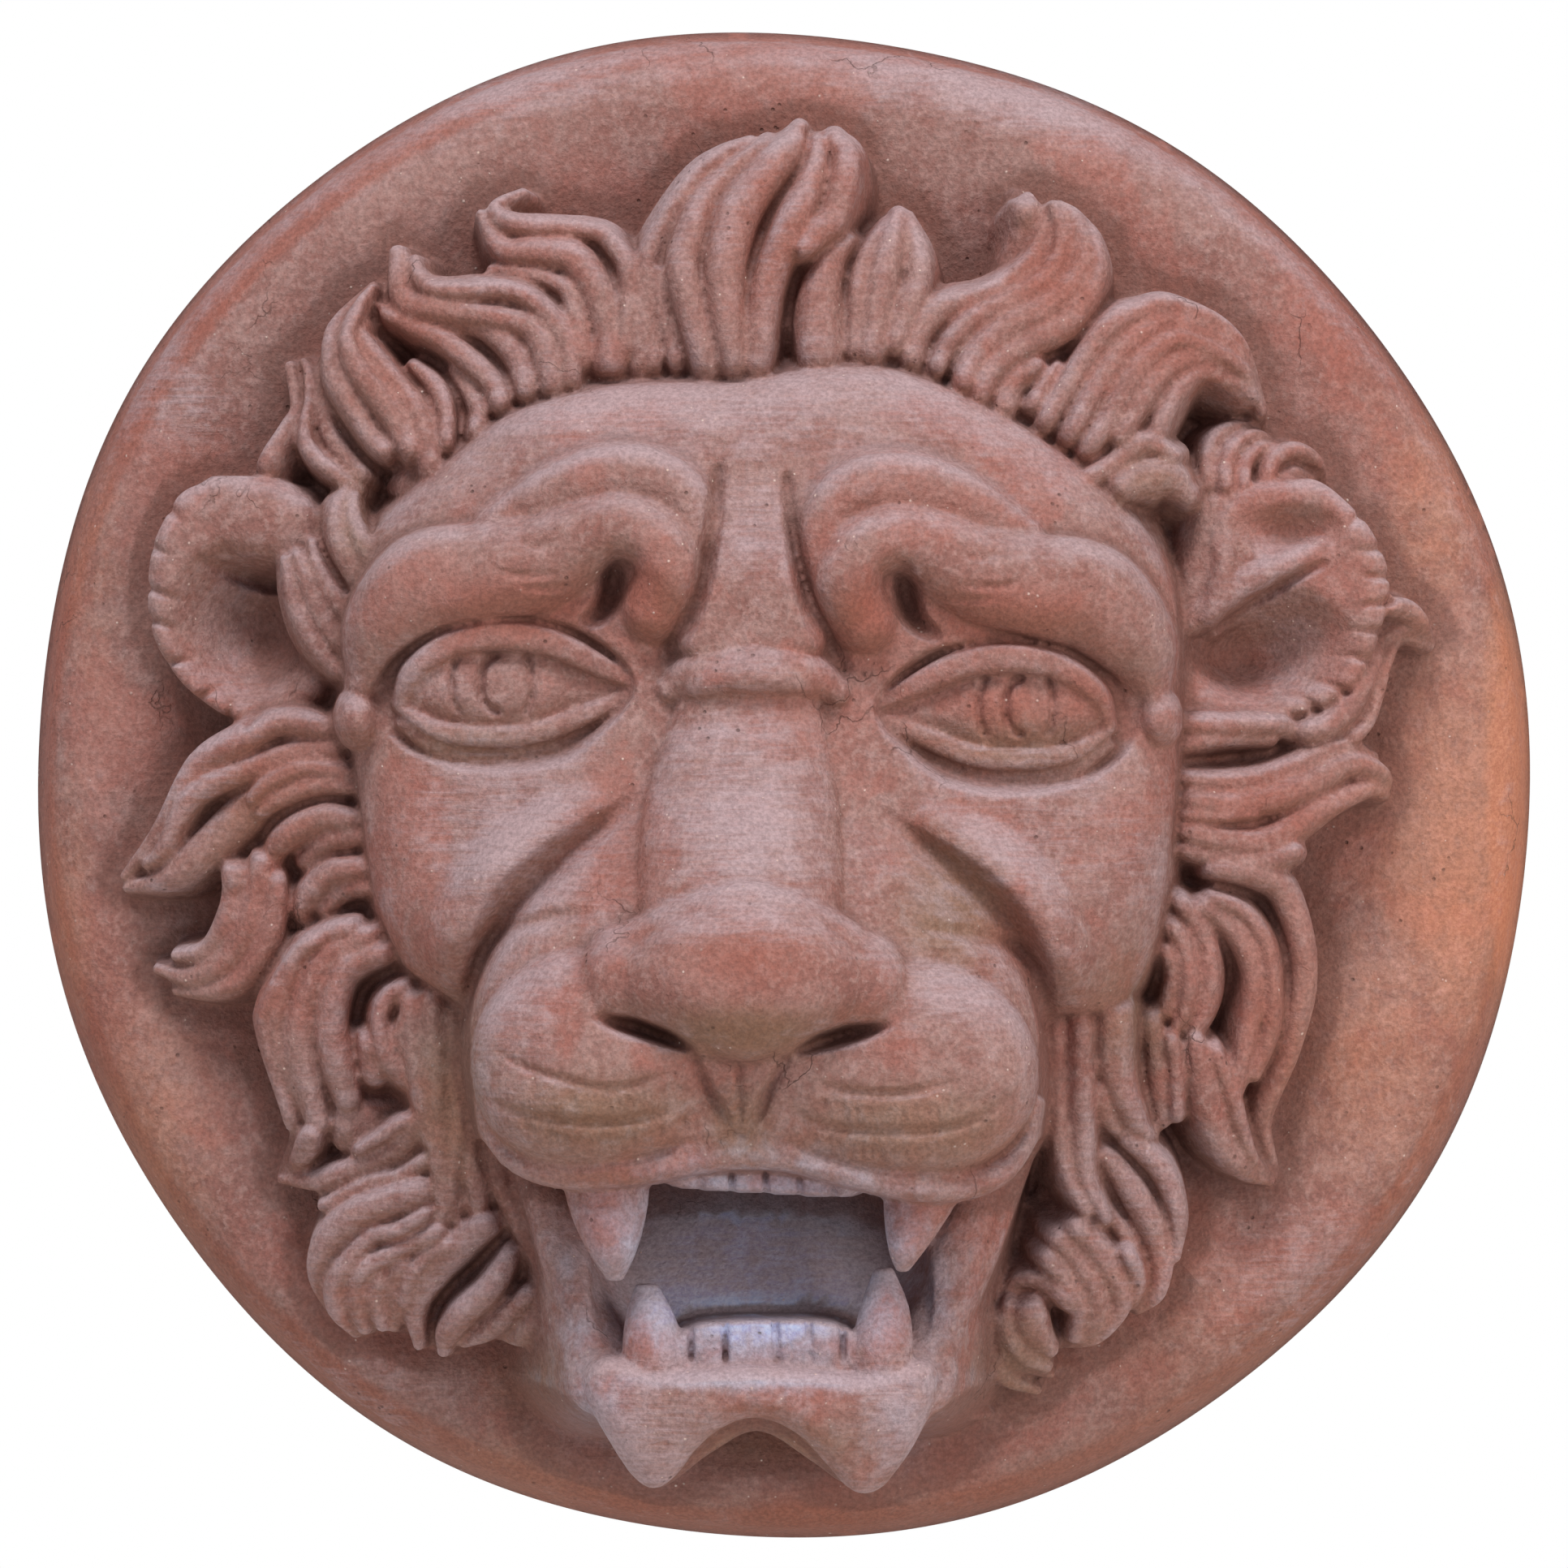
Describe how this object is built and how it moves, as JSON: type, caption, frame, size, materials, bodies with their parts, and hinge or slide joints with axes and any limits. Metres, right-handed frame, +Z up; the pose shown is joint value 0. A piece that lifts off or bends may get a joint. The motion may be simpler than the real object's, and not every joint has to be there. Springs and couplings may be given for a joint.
{
  "type": "relief roundel",
  "caption": "Round terracotta wall relief of a roaring lion's head with a full mane, hung on a wall as an ornament.",
  "frame": {"origin": "centre of the roundel's flat back, where it meets the wall", "axes": "+Y out of the flat back towards the wall, so the lion looks along -Y; +Z up; +X to the viewer's right"},
  "size_m": [0.5015, 0.1704, 0.5059],
  "materials": {
    "terracotta": "unglazed fired clay, weathered, with a pale bloom on what stands proud"
  },
  "bodies": {
    "root": {"lion_roundel": "terracotta"}
  },
  "joints": []
}
